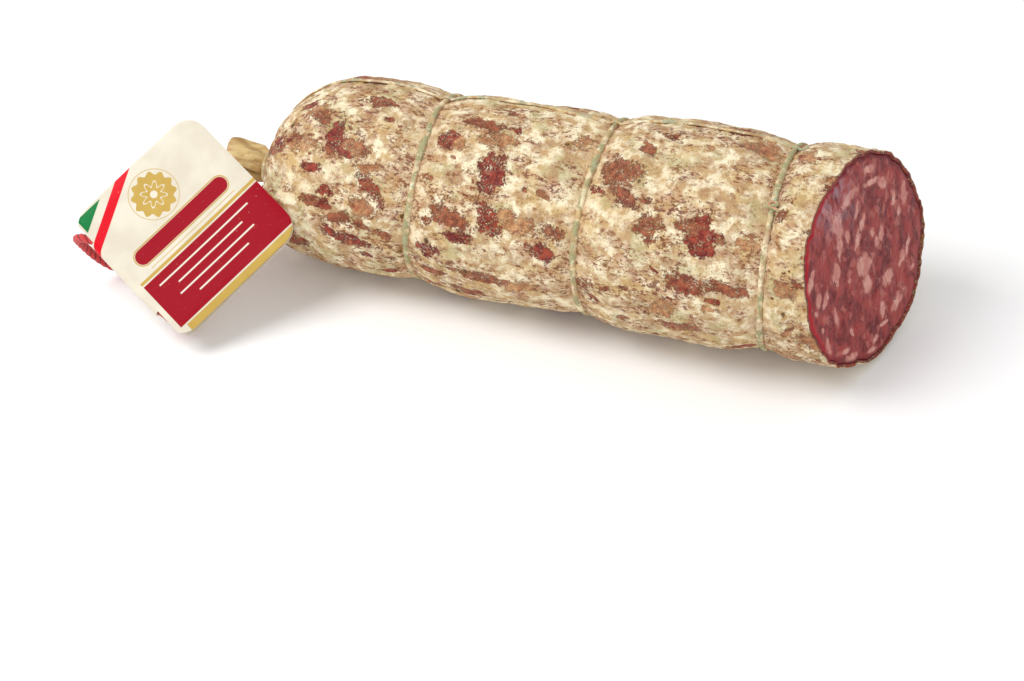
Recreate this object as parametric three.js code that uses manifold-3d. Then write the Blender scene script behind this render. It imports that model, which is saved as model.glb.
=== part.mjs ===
// A cured sausage in its natural casing, trussed with twine, cut at one end and hung with a card label.
// Millimetres. +X runs along the sausage towards the cut, +Z up, and Z = 0 is the surface it lies on.
import * as THREE from 'three';
import { mergeVertices } from 'three/addons/utils/BufferGeometryUtils.js';
import Module from 'manifold-3d';

const wasm = await Module();
wasm.setup();

const degrees = THREE.MathUtils.degToRad;

// ---- Driving sizes ----

// Lengths along the axis, from the tied neck to the middle of the cut.
const END_LOBE_LENGTH = 54.6;
const SECOND_LOBE_LENGTH = 53.2;
const THIRD_LOBE_LENGTH = 54.4;
const CUT_LOBE_LENGTH = 24;
const TAIL_REACH = 17;

// Radii of the swollen lobes, of the cut, and out to the back of each girth tie.
const END_LOBE_RADIUS = 30.4;
const SECOND_LOBE_RADIUS = 30.8;
const THIRD_LOBE_RADIUS = 32.5;
const CUT_LOBE_RADIUS = 34.2;
const CUT_RADIUS = 31.6;
const TIE_RADII = [29, 30.2, 31];

// The underside is pressed flat by this much where a lobe lies on the surface.
const PRESSED_FLAT = 0.9;

// The rounded end and the neck, where the casing is gathered and tied.
const DOME_LENGTH = 50;
const DOME_POWER = 3.3;
const NECK_RADIUS = 3.2;
const NECK_LENGTH = 4.6;
const NECK_HEIGHT = 27;
const NECK_SIDE = -3.6;

// The gathered tail of casing beyond the neck, wide and flattened at its end.
const TAIL_RISE = 3;
const TAIL_SIDE = 3;
const TAIL_BULGE_RADIUS = 5.6;
const TAIL_END_WIDTH = 17;
const TAIL_END_THICKNESS = 4;

// The cut leans back at the top and turns towards the -Y side.
const CUT_LEAN = degrees(14.6);
const CUT_TURN = degrees(16.3);

const CASING_WALL = 0.9;
const CLEARANCE = 0.3;

// Twine: the girth ties, the strand along the top and the tie at the neck.
const GIRTH_TWINE_RADIUS = 1.1;
const LENGTHWISE_TWINE_RADIUS = 0.7;
const NECK_TWINE_RADIUS = 0.8;
const NECK_TWINE_TURNS = 1.6;
const SWELL_BEFORE_TIE = 5.2;
const SWELL_AFTER_TIE = 6.5;
const LENGTHWISE_ANGLE = degrees(72);
const KNOT_ANGLE = degrees(120);
const KNOT_SIZE = [1.9, 2.6, 1.5];
const KNOT_LIFT = 0.9;

// The label is a card folded over the hanging loop. Its lowest corner is measured along X from the neck.
const LABEL_FOLD_LENGTH = 50;
const LABEL_WIDTH = 49.5;
const LABEL_CORNER_RADIUS = 6.5;
const CARD_THICKNESS = 0.5;
const FOLD_RADIUS = 2.6;
const LEAF_GAP = 0.8;
const FOLD_NOTCH_RADIUS = 4.2;
const FOLD_NOTCH_INSETS = [7.5, 5];
const LABEL_CORNER = [-3.8, -66.9, 7.5];
const LABEL_TURN = degrees(14.9);
const LABEL_SLOPE = degrees(40);
const LABEL_SPIN = degrees(46.2);

// The hanging loop leaves the neck tie, runs through the label's fold and comes back to the neck.
// Its points are measured along X from the neck, so that it keeps its place when a lobe grows.
const LOOP_DIAMETER = 2.8;
const LOOP_SIDES = 8;
const LOOP_STEPS = 76;
const LOOP_ROUTE = [
  [-0.5, -7.3, 23], [-1.5, -10.2, 20.3], [-3, -13, 16.6], [-5, -15.8, 12.3],
  [-7.7, -18.6, 8], [-11.2, -21.6, 4.2], [-15.4, -24.6, 2.1], [-20.4, -27.4, 1.5],
  [-26, -30.4, 1.5], [-31.6, -33.4, 1.5], [-37, -36.2, 2.4], [-41.4, -38.8, 5.6],
  [-44.4, -41.4, 10.4], [-46, -44, 15.8], [-46.1, -46.8, 20.6], [-44.5, -48.9, 23.2],
  [-41.6, -50.1, 24.9], [-37.8, -50.5, 24.8], [-33.8, -51.3, 23.2], [-26.3, -54.3, 19.2],
  [-18.8, -57.2, 15.2], [-13.8, -59.4, 12.2], [-11.8, -59.9, 10.7], [-10.2, -59.4, 8.7],
  [-9.2, -58.1, 6.7], [-9.1, -56.2, 4.9], [-9.6, -53.2, 2.8], [-9.8, -51.3, 1.8],
  [-9.9, -49.1, 1.5], [-9.9, -44.4, 1.5], [-9.8, -41, 1.5], [-9.4, -35, 1.5],
  [-8.6, -29.2, 1.7], [-7.4, -23.6, 3], [-5.7, -18.2, 5.8], [-3.7, -12.8, 10],
  [-2.1, -8.8, 14.4], [-0.9, -5.6, 18.4], [-0.5, -4.2, 21.4],
];

// Facets round the sausage, the twine and the ties.
const SIDES = 32;
const TWINE_SIDES = 6;
const RING_STEPS = 40;

// ---- Places along the axis ----

const CUT_SLOPE_Y = Math.tan(CUT_TURN);
const CUT_SLOPE_Z = -Math.tan(CUT_LEAN);
const CUT_REACH = CUT_RADIUS * Math.hypot(CUT_SLOPE_Y, CUT_SLOPE_Z);
const BODY_LENGTH = END_LOBE_LENGTH + SECOND_LOBE_LENGTH + THIRD_LOBE_LENGTH + CUT_LOBE_LENGTH;
const NECK_X = TAIL_REACH - (TAIL_REACH + BODY_LENGTH + CUT_REACH) / 2;
const TIE_X = [
  NECK_X + END_LOBE_LENGTH,
  NECK_X + END_LOBE_LENGTH + SECOND_LOBE_LENGTH,
  NECK_X + END_LOBE_LENGTH + SECOND_LOBE_LENGTH + THIRD_LOBE_LENGTH,
];
const CUT_X = NECK_X + BODY_LENGTH;
const LOBE_RADII = [END_LOBE_RADIUS, SECOND_LOBE_RADIUS, THIRD_LOBE_RADIUS, CUT_LOBE_RADIUS];

// Half the width of the groove that a girth tie lies in, and the depth of its bottom below the tie's back.
const GROOVE_HALF = GIRTH_TWINE_RADIUS + CLEARANCE;
const GROOVE_DEPTH = 2 * GIRTH_TWINE_RADIUS + CLEARANCE;

// The axis keeps each lobe pressed on the surface, and swings to the neck at the rounded end.
const AXIS_STATIONS = [
  { x: NECK_X, y: NECK_SIDE, z: NECK_HEIGHT },
  { x: NECK_X + END_LOBE_LENGTH / 2, y: 0, z: END_LOBE_RADIUS - PRESSED_FLAT },
  { x: (TIE_X[0] + TIE_X[1]) / 2, y: 0, z: SECOND_LOBE_RADIUS - PRESSED_FLAT },
  { x: (TIE_X[1] + TIE_X[2]) / 2, y: 0, z: THIRD_LOBE_RADIUS - PRESSED_FLAT },
  { x: CUT_X, y: 0, z: CUT_LOBE_RADIUS - PRESSED_FLAT },
];

function axisAt(x) {
  const last = AXIS_STATIONS.length - 1;
  if (x <= AXIS_STATIONS[0].x) return AXIS_STATIONS[0];
  if (x >= AXIS_STATIONS[last].x) return AXIS_STATIONS[last];
  const next = AXIS_STATIONS.findIndex((station) => station.x > x);
  const from = AXIS_STATIONS[next - 1];
  const to = AXIS_STATIONS[next];
  const share = THREE.MathUtils.smoothstep(x, from.x, to.x);
  return { y: THREE.MathUtils.lerp(from.y, to.y, share), z: THREE.MathUtils.lerp(from.z, to.z, share) };
}

// Radius of the casing, leaving out the narrow grooves. It dips towards each tie on both sides.
function bodyRadius(x) {
  const lobe = TIE_X.filter((tie) => x > tie).length;
  const full = LOBE_RADII[lobe];
  let radius = full;
  if (lobe > 0) {
    const dip = full - TIE_RADII[lobe - 1] + GIRTH_TWINE_RADIUS;
    radius -= dip * Math.exp(-Math.max(0, x - TIE_X[lobe - 1] - GROOVE_HALF) / SWELL_AFTER_TIE);
  }
  if (lobe < TIE_X.length) {
    const dip = full - TIE_RADII[lobe] + GIRTH_TWINE_RADIUS;
    radius -= dip * Math.exp(-Math.max(0, TIE_X[lobe] - GROOVE_HALF - x) / SWELL_BEFORE_TIE);
  } else {
    radius -= (full - CUT_RADIUS) * THREE.MathUtils.smoothstep(x, TIE_X[lobe - 1], CUT_X);
  }
  const along = THREE.MathUtils.clamp((x - NECK_X - NECK_LENGTH / 2) / DOME_LENGTH, 0, 1);
  const dome = (1 - (1 - along) ** DOME_POWER) ** (1 / DOME_POWER);
  return Math.max(NECK_RADIUS, radius * dome);
}

// ---- Lofts along the axis ----

// A round section at x, shrunk inwards by inset. Its underside goes no lower than the inset above the surface.
function roundSection(x, radius, inset) {
  const { y, z } = axisAt(x);
  return Array.from({ length: SIDES }, (_, i) => {
    const angle = (2 * Math.PI * i) / SIDES;
    const up = Math.max(inset, z + (radius - inset) * Math.sin(angle));
    return new THREE.Vector3(x, y + (radius - inset) * Math.cos(angle), up);
  });
}

// A section between the last tie and the cut, leaning more the nearer it is to the cut.
function leaningSection(share, inset) {
  const x = THREE.MathUtils.lerp(TIE_X[2] + GROOVE_HALF, CUT_X, share);
  const middle = axisAt(CUT_X).z;
  return roundSection(x, bodyRadius(x), inset).map((point) => {
    point.x += share * (CUT_SLOPE_Y * point.y + CUT_SLOPE_Z * (point.z - middle));
    return point;
  });
}

// A closed mesh through sections of equal counts, the first and last ones closed by fans.
function loftSections(sections) {
  const sides = sections[0].length;
  const points = sections.flat();
  const index = [];
  for (let s = 0; s < sections.length - 1; s += 1) {
    for (let i = 0; i < sides; i += 1) {
      const a = s * sides + i;
      const b = s * sides + ((i + 1) % sides);
      index.push(a, b, a + sides, b, b + sides, a + sides);
    }
  }
  for (const [start, turn] of [[0, 1], [(sections.length - 1) * sides, -1]]) {
    const centre = points.length;
    const middle = new THREE.Vector3();
    for (let i = 0; i < sides; i += 1) middle.addScaledVector(points[start + i], 1 / sides);
    points.push(middle);
    for (let i = 0; i < sides; i += 1) {
      const a = start + i;
      const b = start + ((i + 1) % sides);
      if (turn > 0) index.push(centre, b, a);
      else index.push(centre, a, b);
    }
  }
  const geometry = new THREE.BufferGeometry().setFromPoints(points);
  geometry.setIndex(index);
  return geometry;
}

// ---- Joining and cutting ----

function toSolid(geometry) {
  const bare = new THREE.BufferGeometry();
  bare.setAttribute('position', geometry.getAttribute('position').clone());
  bare.setIndex(geometry.index);
  const merged = mergeVertices(bare, 1e-4);
  const vertProperties = new Float32Array(merged.getAttribute('position').array);
  const triVerts = new Uint32Array(merged.index.array);
  return new wasm.Manifold(new wasm.Mesh({ numProp: 3, vertProperties, triVerts }));
}

function toGeometry(solid) {
  const mesh = solid.getMesh();
  const geometry = new THREE.BufferGeometry();
  geometry.setAttribute('position', new THREE.BufferAttribute(new Float32Array(mesh.vertProperties), 3));
  geometry.setIndex(new THREE.BufferAttribute(new Uint32Array(mesh.triVerts), 1));
  return geometry;
}

// ---- Casing and filling ----

function spread(from, to, shares) {
  return shares.map((share) => THREE.MathUtils.lerp(from, to, share));
}

const DOME_SHARES = [0.01, 0.04, 0.1, 0.18, 0.3, 0.45, 0.62, 0.82, 1];
const LOBE_SHARES = [0.04, 0.1, 0.2, 0.36, 0.56, 0.76, 0.88, 0.95];
const CUT_LOBE_SHARES = [0.2, 0.45, 0.75, 1];
const INNER_LOBE_SHARES = [0.12, 0.4, 0.75, 0.93];

// Sections across the groove of a girth tie, from one shoulder to the other.
function grooveSections(tie) {
  const middle = TIE_RADII[tie] - GIRTH_TWINE_RADIUS;
  return [-1, -0.72, 0, 0.72, 1].map((across) => {
    const depth = GROOVE_HALF * Math.sqrt(1 - across ** 2);
    return roundSection(TIE_X[tie] + across * GROOVE_HALF, middle - depth, 0);
  });
}

// The gathered tail: a round bulge beyond the neck that widens and flattens to its end.
function tailSections() {
  const shape = [
    { along: 1, width: TAIL_END_WIDTH, thickness: TAIL_END_THICKNESS },
    { along: 0.8, width: TAIL_END_WIDTH * 0.94, thickness: TAIL_END_THICKNESS * 1.1 },
    { along: 0.55, width: TAIL_BULGE_RADIUS * 2.3, thickness: TAIL_BULGE_RADIUS * 1.3 },
    { along: 0.3, width: TAIL_BULGE_RADIUS * 2, thickness: TAIL_BULGE_RADIUS * 1.8 },
    { along: 0.12, width: TAIL_BULGE_RADIUS * 1.7, thickness: TAIL_BULGE_RADIUS * 1.6 },
    { along: 0, width: NECK_RADIUS * 2, thickness: NECK_RADIUS * 2 },
  ];
  const start = NECK_X - NECK_LENGTH / 2;
  const reach = TAIL_REACH - NECK_LENGTH / 2;
  return shape.map(({ along, width, thickness }) => {
    const curve = along ** 1.2;
    const y = NECK_SIDE + TAIL_SIDE * curve;
    const z = NECK_HEIGHT + TAIL_RISE * curve;
    return Array.from({ length: SIDES }, (_, i) => {
      const angle = (2 * Math.PI * i) / SIDES;
      const across = (width / 2) * Math.cos(angle);
      const up = (thickness / 2) * Math.sin(angle);
      return new THREE.Vector3(start - reach * along, y + across, z + up);
    });
  });
}

function bodySections() {
  const domeStart = NECK_X + NECK_LENGTH / 2;
  const domeEnd = Math.min(domeStart + DOME_LENGTH, TIE_X[0] - 3 * GROOVE_HALF);
  const sections = [];
  const addRound = (x) => sections.push(roundSection(x, bodyRadius(x), 0));
  addRound(domeStart);
  spread(domeStart, domeEnd, DOME_SHARES).forEach(addRound);
  spread(domeEnd, TIE_X[0] - GROOVE_HALF, [0.5]).forEach(addRound);
  TIE_X.forEach((x, tie) => {
    sections.push(...grooveSections(tie));
    if (tie < TIE_X.length - 1) {
      spread(x + GROOVE_HALF, TIE_X[tie + 1] - GROOVE_HALF, LOBE_SHARES).forEach(addRound);
    }
  });
  CUT_LOBE_SHARES.forEach((share) => sections.push(leaningSection(share, 0)));
  return sections;
}

// The meat, or the space for it: smooth sections that pass below the grooves. over carries it past the cut.
function innerSections(inset, over) {
  const domeStart = NECK_X + NECK_LENGTH / 2;
  const sections = [];
  const addRound = (x, radius) => sections.push(roundSection(x, radius, inset));
  spread(domeStart, TIE_X[0], [0.05, 0.12, 0.24, 0.45, 0.75]).forEach((x) => addRound(x, bodyRadius(x)));
  TIE_X.forEach((x, tie) => {
    addRound(x, TIE_RADII[tie] - GROOVE_DEPTH);
    if (tie < TIE_X.length - 1) {
      spread(x, TIE_X[tie + 1], INNER_LOBE_SHARES).forEach((lobeX) => addRound(lobeX, bodyRadius(lobeX)));
    }
  });
  [0.35, 1].forEach((share) => sections.push(leaningSection(share, inset)));
  if (over > 0) sections.push(leaningSection(1, inset).map((point) => point.clone().setX(point.x + over)));
  return sections;
}

function makeCasing() {
  const outside = toSolid(loftSections([...tailSections(), ...bodySections()]));
  const inside = toSolid(loftSections(innerSections(CASING_WALL, 2)));
  return toGeometry(outside.subtract(inside));
}

function makeFilling() {
  return loftSections(innerSections(CASING_WALL + CLEARANCE, 0));
}

// ---- Twine ----

function circleShape(radius, sides) {
  const points = Array.from({ length: sides }, (_, i) => {
    const angle = (2 * Math.PI * i) / sides;
    return new THREE.Vector2(radius * Math.cos(angle), radius * Math.sin(angle));
  });
  return new THREE.Shape(points);
}

function makeTube(curve, radius, sides, steps) {
  const extrudePath = curve;
  return new THREE.ExtrudeGeometry(circleShape(radius, sides), { steps, bevelEnabled: false, extrudePath });
}

// A point round the axis at x: angle 0 is +Y and a quarter turn is up.
function pointRound(x, angle, radius) {
  const { y, z } = axisAt(x);
  return new THREE.Vector3(x, y + radius * Math.cos(angle), z + radius * Math.sin(angle));
}

// A girth tie is a ring of twine lying in its groove.
function makeGirthTie(tie) {
  const middle = TIE_RADII[tie] - GIRTH_TWINE_RADIUS;
  const profile = Array.from({ length: TWINE_SIDES + 1 }, (_, i) => {
    const angle = (2 * Math.PI * i) / TWINE_SIDES;
    return new THREE.Vector2(
      middle + GIRTH_TWINE_RADIUS * Math.cos(angle),
      GIRTH_TWINE_RADIUS * Math.sin(angle),
    );
  });
  const ring = new THREE.LatheGeometry(profile, RING_STEPS);
  ring.rotateZ(-Math.PI / 2);
  const { y, z } = axisAt(TIE_X[tie]);
  ring.translate(TIE_X[tie], y, z);
  return ring;
}

// The knot that closes a girth tie stands on top of the twine.
function addKnot(ring, tie) {
  const knot = new THREE.SphereGeometry(1, 10, 6);
  knot.scale(...KNOT_SIZE);
  knot.rotateX(KNOT_ANGLE - Math.PI / 2);
  const place = pointRound(TIE_X[tie], KNOT_ANGLE, TIE_RADII[tie] + KNOT_LIFT);
  knot.translate(place.x, place.y, place.z);
  return toGeometry(toSolid(ring).add(toSolid(knot)));
}

// The strand along the top lies on the casing and crosses over every girth tie.
function makeLengthwiseTie() {
  const lift = CLEARANCE + LENGTHWISE_TWINE_RADIUS;
  const overTie = GROOVE_HALF + LENGTHWISE_TWINE_RADIUS;
  const start = NECK_X + NECK_LENGTH / 2 + 3;
  const end = TIE_X[2] + GROOVE_HALF + 2.5;
  const steps = 56;
  const points = Array.from({ length: steps + 1 }, (_, i) => {
    const x = THREE.MathUtils.lerp(start, end, (i / steps) ** 1.25);
    const tie = TIE_X.findIndex((tieX) => Math.abs(tieX - x) < overTie);
    const slope = (bodyRadius(x + 0.2) - bodyRadius(x - 0.2)) / 0.4;
    const rise = lift * Math.min(2, Math.hypot(1, slope));
    let radius = bodyRadius(x) + rise;
    if (tie >= 0) radius = Math.max(radius, TIE_RADII[tie] + lift);
    return pointRound(x, LENGTHWISE_ANGLE, radius);
  });
  const route = new THREE.CatmullRomCurve3(points, false, 'centripetal');
  return makeTube(route, LENGTHWISE_TWINE_RADIUS, TWINE_SIDES, steps);
}

class NeckWinding extends THREE.Curve {
  getPoint(t, target = new THREE.Vector3()) {
    const pitch = 2 * NECK_TWINE_RADIUS + CLEARANCE;
    const radius = NECK_RADIUS + CLEARANCE + NECK_TWINE_RADIUS;
    const angle = 2 * Math.PI * NECK_TWINE_TURNS * t;
    const x = NECK_X + pitch * NECK_TWINE_TURNS * (t - 0.5);
    return target.set(x, NECK_SIDE + radius * Math.cos(angle), NECK_HEIGHT + radius * Math.sin(angle));
  }
}

// ---- Hanging loop and label ----

function makeHangingLoop() {
  const points = LOOP_ROUTE.map(([x, y, z]) => new THREE.Vector3(NECK_X + x, y, z));
  const route = new THREE.CatmullRomCurve3(points, false, 'centripetal');
  return makeTube(route, LOOP_DIAMETER / 2, LOOP_SIDES, LOOP_STEPS);
}

// The folded card seen along its fold: front leaf on top, back leaf below, open at the far edge.
function makeLabelProfile() {
  const backEdge = -2 * CARD_THICKNESS - LEAF_GAP;
  const profile = new THREE.Shape();
  profile.moveTo(LABEL_WIDTH, 0);
  profile.lineTo(FOLD_RADIUS, 0);
  profile.absarc(FOLD_RADIUS, -FOLD_RADIUS, FOLD_RADIUS, Math.PI / 2, 1.5 * Math.PI, false);
  profile.lineTo(LABEL_WIDTH, backEdge);
  profile.lineTo(LABEL_WIDTH, backEdge + CARD_THICKNESS);
  profile.lineTo(FOLD_RADIUS, CARD_THICKNESS - 2 * FOLD_RADIUS);
  profile.absarc(FOLD_RADIUS, -FOLD_RADIUS, FOLD_RADIUS - CARD_THICKNESS, 1.5 * Math.PI, Math.PI / 2, true);
  profile.lineTo(LABEL_WIDTH, -CARD_THICKNESS);
  return profile;
}

function makeRoundedOutline() {
  const r = LABEL_CORNER_RADIUS;
  const outline = new THREE.Shape();
  outline.absarc(r, r, r, Math.PI, 1.5 * Math.PI, false);
  outline.absarc(LABEL_WIDTH - r, r, r, 1.5 * Math.PI, 2 * Math.PI, false);
  outline.absarc(LABEL_WIDTH - r, LABEL_FOLD_LENGTH - r, r, 0, Math.PI / 2, false);
  outline.absarc(r, LABEL_FOLD_LENGTH - r, r, Math.PI / 2, Math.PI, false);
  return outline;
}

// The card with rounded corners. The fold and the back leaf are notched at both ends to let the loop out.
function makeLabel() {
  const folded = new THREE.ExtrudeGeometry(makeLabelProfile(), {
    depth: LABEL_FOLD_LENGTH, bevelEnabled: false, curveSegments: 6,
  });
  folded.rotateX(Math.PI / 2);
  folded.translate(0, LABEL_FOLD_LENGTH, 0);
  const outline = new THREE.ExtrudeGeometry(makeRoundedOutline(), {
    depth: 4 * FOLD_RADIUS, bevelEnabled: false, curveSegments: 5,
  });
  outline.translate(0, 0, -3 * FOLD_RADIUS);
  let card = toSolid(folded).intersect(toSolid(outline));
  for (const fromBottom of [FOLD_NOTCH_INSETS[0], LABEL_FOLD_LENGTH - FOLD_NOTCH_INSETS[1]]) {
    const notch = new THREE.CylinderGeometry(FOLD_NOTCH_RADIUS, FOLD_NOTCH_RADIUS, 3 * FOLD_RADIUS, 16);
    notch.rotateX(Math.PI / 2);
    notch.translate(0, fromBottom, -CARD_THICKNESS - 1.5 * FOLD_RADIUS);
    card = card.subtract(toSolid(notch));
  }
  return toGeometry(card);
}

// ---- Materials ----

function material(color, roughness) {
  return new THREE.MeshStandardMaterial({ color, roughness, metalness: 0 });
}

const CASING_FINISH = material(0xd8ccb0, 0.9);
const MEAT_FINISH = material(0x8e2f34, 0.45);
const TWINE_FINISH = material(0xb9bd96, 0.95);
const LOOP_FINISH = material(0xc0302c, 0.85);
const CARD_FINISH = material(0xf1ecdf, 0.5);

// ---- Assembly ----

const sausage = new THREE.Group();

function addPiece(parent, name, geometry, finish) {
  const piece = new THREE.Mesh(geometry, finish);
  piece.name = name;
  parent.add(piece);
  return piece;
}

addPiece(sausage, 'filling', makeFilling(), MEAT_FINISH);
addPiece(sausage, 'casing', makeCasing(), CASING_FINISH);
addPiece(sausage, 'girth_tie_1', makeGirthTie(0), TWINE_FINISH);
addPiece(sausage, 'girth_tie_2', makeGirthTie(1), TWINE_FINISH);
addPiece(sausage, 'girth_tie_3', addKnot(makeGirthTie(2), 2), TWINE_FINISH);
addPiece(sausage, 'lengthwise_tie', makeLengthwiseTie(), TWINE_FINISH);
const winding = makeTube(new NeckWinding(), NECK_TWINE_RADIUS, TWINE_SIDES, 32);
addPiece(sausage, 'neck_tie', winding, TWINE_FINISH);
addPiece(sausage, 'hanging_loop', makeHangingLoop(), LOOP_FINISH);

// The card leans on the rounded end with its lowest corner down: turned, then sloped, then spun in its plane.
const labelTurn = new THREE.Group();
labelTurn.position.set(NECK_X + LABEL_CORNER[0], LABEL_CORNER[1], LABEL_CORNER[2]);
labelTurn.rotation.z = LABEL_TURN;
const labelSlope = new THREE.Group();
labelSlope.rotation.x = LABEL_SLOPE;
labelTurn.add(labelSlope);
const label = addPiece(labelSlope, 'label', makeLabel(), CARD_FINISH);
label.rotation.z = LABEL_SPIN;
sausage.add(labelTurn);

export default sausage;
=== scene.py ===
"""A cured sausage in a mould-covered casing, trussed with twine, cut at one end, with a folded card label."""

import math
import random

import bmesh
import bpy
import numpy as np
from mathutils import Matrix, Vector, noise


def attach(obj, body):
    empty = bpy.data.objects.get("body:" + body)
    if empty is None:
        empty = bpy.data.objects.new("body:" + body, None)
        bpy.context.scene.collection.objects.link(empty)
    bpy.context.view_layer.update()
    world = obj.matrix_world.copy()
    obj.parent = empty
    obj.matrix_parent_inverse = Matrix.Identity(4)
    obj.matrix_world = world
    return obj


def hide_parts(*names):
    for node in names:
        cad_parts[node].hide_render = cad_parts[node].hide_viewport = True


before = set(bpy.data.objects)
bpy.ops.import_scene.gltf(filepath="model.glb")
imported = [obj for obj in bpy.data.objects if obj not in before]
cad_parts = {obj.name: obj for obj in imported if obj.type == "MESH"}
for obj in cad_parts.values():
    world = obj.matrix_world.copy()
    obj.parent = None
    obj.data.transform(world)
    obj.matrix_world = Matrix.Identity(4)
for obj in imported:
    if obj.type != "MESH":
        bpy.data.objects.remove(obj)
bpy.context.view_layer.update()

# ---- Sizes, in metres and radians ----

MM = 0.001
TURN = 2 * math.pi

# The camera looks at a point in front of the sausage, from above and from the side of the cut.
CAMERA_AIM = Vector((-0.00295, -0.0306, 0.0021))
CAMERA_DISTANCE = 0.7205
CAMERA_AZIMUTH = math.radians(21.33)
CAMERA_ELEVATION = math.radians(41.1)
CAMERA_ROLL = math.radians(-2.4)
CAMERA_LENS = 84.77

# Lobes of the sausage: lengths from the neck to the cut, and radii.
LOBE_LENGTHS = (0.0546, 0.0532, 0.0544, 0.024)
LOBE_RADII = (0.0304, 0.0308, 0.0325, 0.0342)
TIE_RADII = (0.029, 0.0302, 0.031)
CUT_RADIUS = 0.0316
PRESSED_FLAT = 0.0009
GIRTH_TWINE_RADIUS = 0.0011
TAIL_REACH = 0.017
DOME_LENGTH = 0.05
DOME_POWER = 3.3
NECK_RADIUS = 0.0032
NECK_LENGTH = 0.0046
NECK_HEIGHT = 0.027
NECK_SIDE = -0.0036
SWELL_BEFORE_TIE = 0.0052
SWELL_AFTER_TIE = 0.0065
TIE_BED = 0.0014  # half the width of a tie's hollow
TIE_REACH = 0.0032  # how far from a tie the casing is creased
CUT_LEAN = math.radians(14.6)
CUT_TURN = math.radians(16.3)
CASING_WALL = 0.0009

# The hanging loop: from the neck over the surface, through the label's fold and back to the neck.
LOOP_DIAMETER = 0.0028
LOOP_ROUTE = [
    (-0.0913, -0.0073, 0.023), (-0.0923, -0.0102, 0.0203), (-0.0938, -0.013, 0.0166),
    (-0.0958, -0.0158, 0.0123), (-0.0985, -0.0186, 0.008), (-0.102, -0.0216, 0.0042),
    (-0.1062, -0.0246, 0.0021), (-0.1112, -0.0274, 0.0015), (-0.1168, -0.0304, 0.0015),
    (-0.1224, -0.0334, 0.0015), (-0.1278, -0.0362, 0.0024), (-0.1322, -0.0388, 0.0056),
    (-0.1352, -0.0414, 0.0104), (-0.1368, -0.044, 0.0158), (-0.1369, -0.0468, 0.0206),
    (-0.1353, -0.0489, 0.0232), (-0.1324, -0.0501, 0.0249), (-0.1286, -0.0505, 0.0248),
    (-0.1246, -0.0513, 0.0232), (-0.1171, -0.0543, 0.0192), (-0.1096, -0.0572, 0.0152),
    (-0.1046, -0.0594, 0.0122), (-0.1026, -0.0599, 0.0107), (-0.101, -0.0594, 0.0087),
    (-0.1, -0.0581, 0.0067), (-0.0999, -0.0562, 0.0049), (-0.1004, -0.0532, 0.0028),
    (-0.1006, -0.0513, 0.0018), (-0.1007, -0.0491, 0.0015), (-0.1007, -0.0444, 0.0015),
    (-0.1006, -0.041, 0.0015), (-0.1002, -0.035, 0.0015), (-0.0994, -0.0292, 0.0017),
    (-0.0982, -0.0236, 0.003), (-0.0965, -0.0182, 0.0058), (-0.0945, -0.0128, 0.01),
    (-0.0929, -0.0088, 0.0144), (-0.0917, -0.0056, 0.0184), (-0.0913, -0.0042, 0.0214),
]

# The card label, folded over the loop.
LABEL_FOLD_LENGTH = 0.05
LABEL_WIDTH = 0.0495
LABEL_CORNER_RADIUS = 0.0065
CARD_THICKNESS = 0.0005
FOLD_RADIUS = 0.0026
LEAF_GAP = 0.0008
FOLD_NOTCH_RADIUS = 0.0042
FOLD_NOTCH_INSETS = (0.0075, 0.005)
LABEL_CORNER = Vector((-0.0946, -0.0669, 0.0075))
LABEL_TURN = math.radians(14.9)
LABEL_SLOPE = math.radians(40)
LABEL_SPIN = math.radians(46.2)

# ---- Places along the axis ----

CUT_SLOPE_Y = math.tan(CUT_TURN)
CUT_SLOPE_Z = -math.tan(CUT_LEAN)
BODY_LENGTH = sum(LOBE_LENGTHS)
NECK_X = (TAIL_REACH - BODY_LENGTH - CUT_RADIUS * math.hypot(CUT_SLOPE_Y, CUT_SLOPE_Z)) / 2
TIE_X = [NECK_X + sum(LOBE_LENGTHS[:tie + 1]) for tie in range(3)]
CUT_X = NECK_X + BODY_LENGTH
LOBE_MIDDLES = [NECK_X + LOBE_LENGTHS[0] / 2, sum(TIE_X[:2]) / 2, sum(TIE_X[1:]) / 2, CUT_X]
AXIS_X = [NECK_X, *LOBE_MIDDLES]
AXIS_Y = [NECK_SIDE, 0, 0, 0, 0]
AXIS_Z = [NECK_HEIGHT, *(radius - PRESSED_FLAT for radius in LOBE_RADII)]
CUT_MIDDLE = Vector((CUT_X, 0, AXIS_Z[-1]))


def smooth(value, low, high):
    share = np.clip((value - low) / (high - low), 0, 1)
    return share * share * (3 - 2 * share)


def angles_round(count):
    return np.linspace(0, TURN, count, endpoint=False)


def axis_at(x):
    """Side and height of the sausage's axis at each x."""
    y = np.full_like(x, AXIS_Y[0])
    z = np.full_like(x, AXIS_Z[0])
    for i in range(len(AXIS_X) - 1):
        share = smooth(x, AXIS_X[i], AXIS_X[i + 1])
        y += (AXIS_Y[i + 1] - AXIS_Y[i]) * share
        z += (AXIS_Z[i + 1] - AXIS_Z[i]) * share
    return y, z


def tie_wander(tie, angle):
    """How far a girth tie strays along the sausage at an angle round it."""
    return MM * (0.7 * np.sin(angle + 1.9 * tie) + 0.35 * np.sin(3 * angle + 2.3 * tie + 0.6))


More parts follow.
